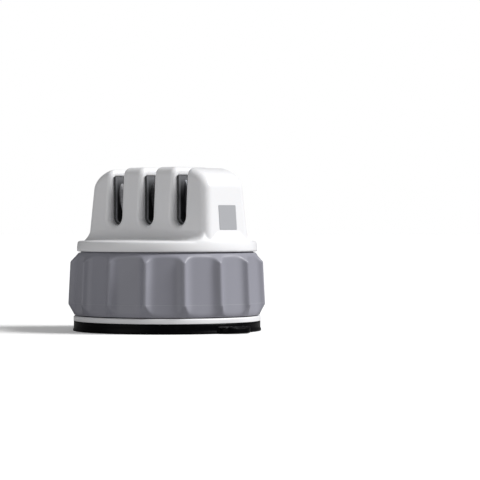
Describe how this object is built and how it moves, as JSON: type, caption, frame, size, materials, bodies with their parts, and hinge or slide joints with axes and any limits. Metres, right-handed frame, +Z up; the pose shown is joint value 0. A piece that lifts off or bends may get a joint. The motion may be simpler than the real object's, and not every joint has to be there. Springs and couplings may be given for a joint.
{
  "type": "pull through knife sharpener",
  "caption": "Pull-through knife sharpener: a drafted grip head with open knife slots on a fluted ring that turns to lift a suction cup with a pull tab.",
  "frame": {"origin": "centre of the suction cup's flat lip, on the axis of the grip ring, at the table", "axes": "+Z up along the axis of the grip ring; +X along the ridge, towards the pull tab; the knife is drawn along Y"},
  "size_m": [0.0783, 0.0746, 0.0618],
  "materials": {
    "white_plastic": "fine satin",
    "grey_grip": "soft touch",
    "black_liner": "satin",
    "black_rubber": "smooth",
    "inner_plastic": "as moulded",
    "ceramic_stone": "fine ground",
    "diamond_grit": "fine grit",
    "carbide": "ground",
    "screw_steel": "zinc plated",
    "slip_plastic": "smooth"
  },
  "bodies": {
    "body": {"head_shell": "white_plastic", "cartridge_front": "black_liner", "cartridge_rear": "black_liner", "cartridge_screws": "screw_steel", "ceramic_rod_front": "ceramic_stone", "ceramic_rod_rear": "ceramic_stone", "diamond_rod_front": "diamond_grit", "diamond_rod_rear": "diamond_grit", "carbide_blade_front": "carbide", "carbide_blade_rear": "carbide", "head_screws": "screw_steel", "core_sleeve": "inner_plastic", "slip_washers": "slip_plastic", "base_plate": "white_plastic", "base_screws": "screw_steel", "suction_cup": "black_rubber"},
    "ring": {"grip_ring": "grey_grip", "cam_ring": "inner_plastic"},
    "lifter": {"lifter": "inner_plastic", "lifter_pins": "screw_steel", "stem_stud": "screw_steel", "stem_washer": "screw_steel", "stem_nut": "screw_steel"}
  },
  "joints": [
    {"name": "ring_turn", "type": "hinge", "parent": "body", "child": "ring", "pos_m": [0, 0, 0.018], "axis": [0, 0, 1], "range_deg": [0, 90]},
    {"name": "lifter_slide", "type": "slide", "parent": "body", "child": "lifter", "axis": [0, 0, 1], "range_m": [0, 0.003], "deforming": ["suction_cup"]}
  ],
  "couplings": [
    {"joint": "lifter_slide", "follows": "ring_turn", "m_per_rad": 0.0019098}
  ]
}
